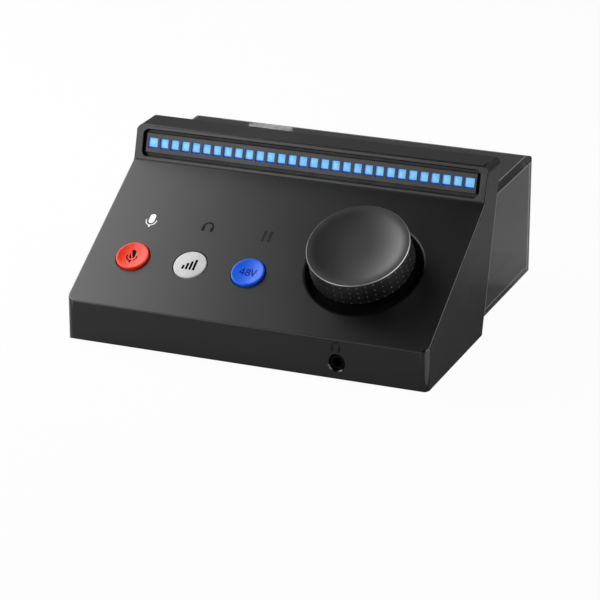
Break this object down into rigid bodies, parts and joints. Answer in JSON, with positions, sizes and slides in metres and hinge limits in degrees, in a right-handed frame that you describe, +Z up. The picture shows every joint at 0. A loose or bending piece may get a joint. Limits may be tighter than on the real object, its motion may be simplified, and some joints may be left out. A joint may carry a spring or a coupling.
{
  "type": "usb audio interface",
  "caption": "Desktop audio interface: black wedge with a large dial, push buttons and a lit level meter, and a smoked clear housing behind for the sockets.",
  "frame": {"origin": "middle of the bounding box on the plane that the feet stand on", "axes": "+X to the right along the width, +Y from the front wall to the sockets at the back, +Z up"},
  "size_m": [0.15, 0.127, 0.0695],
  "materials": {
    "black_abs": "fine satin texture",
    "smoked_clear": "smoked clear, polished",
    "black_plate": "black powder coat",
    "meter_grey": "dark grey, matt",
    "meter_blue": "lit blue diffuser",
    "board_black": "solder mask",
    "led_white": "moulded LED case",
    "switch_black": "moulded",
    "guide_clear": "clear diffuser",
    "zinc": "die-cast zinc",
    "nickel": "nickel plate",
    "grip_black": "moulded, dotted grip",
    "dial_black": "black anodised, satin",
    "button_red": "satin",
    "button_white": "satin",
    "button_blue": "satin",
    "cream_nylon": "moulded",
    "socket_black": "moulded",
    "chip_black": "epoxy",
    "can_aluminium": "satin can",
    "ribbon_white": "flat cable",
    "screw_steel": "black zinc",
    "foot_rubber": "matt"
  },
  "bodies": {
    "chassis": {"front_shell": "black_abs", "base_plate": "black_abs", "rear_cover": "smoked_clear", "rear_panel": "black_plate", "led_panel": "meter_grey", "led_lenses": "meter_blue", "led_board": "board_black", "led_chips": "led_white", "control_board": "board_black", "mute_switch": "switch_black", "level_switch": "switch_black", "phantom_switch": "switch_black", "icon_light_guides": "guide_clear", "icon_leds": "led_white", "encoder_case": "zinc", "encoder_nut": "nickel", "headphone_jack": "socket_black", "jack_ring": "nickel", "jack_board": "board_black", "main_board": "board_black", "main_chips": "chip_black", "main_capacitors": "can_aluminium", "combo_shell": "socket_black", "combo_insert": "socket_black", "line_out_left": "socket_black", "line_out_right": "socket_black", "line_out_nuts": "nickel", "usb_socket": "nickel", "usb_tongue": "socket_black", "main_ribbon": "ribbon_white", "led_ribbon": "ribbon_white", "jack_ribbon": "ribbon_white", "ribbon_sockets": "cream_nylon", "base_screws": "screw_steel", "control_screws": "screw_steel", "cover_screws": "screw_steel", "main_board_screws": "screw_steel", "rear_panel_screws": "screw_steel", "combo_screws": "screw_steel", "jack_board_screws": "screw_steel", "front_feet": "foot_rubber", "rear_feet": "foot_rubber"},
    "dial": {"dial_grip": "grip_black", "dial_cap": "dial_black", "encoder_shaft": "nickel"},
    "mute_button": {"mute_cap": "button_red", "mute_plunger": "cream_nylon"},
    "level_button": {"level_cap": "button_white", "level_plunger": "cream_nylon"},
    "phantom_button": {"phantom_cap": "button_blue", "phantom_plunger": "cream_nylon"}
  },
  "joints": [
    {"name": "dial_turn", "type": "hinge", "parent": "chassis", "child": "dial", "pos_m": [0.0378, -0.03289, 0.03558], "axis": [0, -0.5105, 0.8599], "continuous": true},
    {"name": "mute_press", "type": "slide", "parent": "chassis", "child": "mute_button", "axis": [0, 0.5105, -0.8599], "range_m": [0, 0.0005], "stiffness_N_per_m": 1500},
    {"name": "level_press", "type": "slide", "parent": "chassis", "child": "level_button", "axis": [0, 0.5105, -0.8599], "range_m": [0, 0.0005], "stiffness_N_per_m": 1500},
    {"name": "phantom_press", "type": "slide", "parent": "chassis", "child": "phantom_button", "axis": [0, 0.5105, -0.8599], "range_m": [0, 0.0005], "stiffness_N_per_m": 1500}
  ]
}
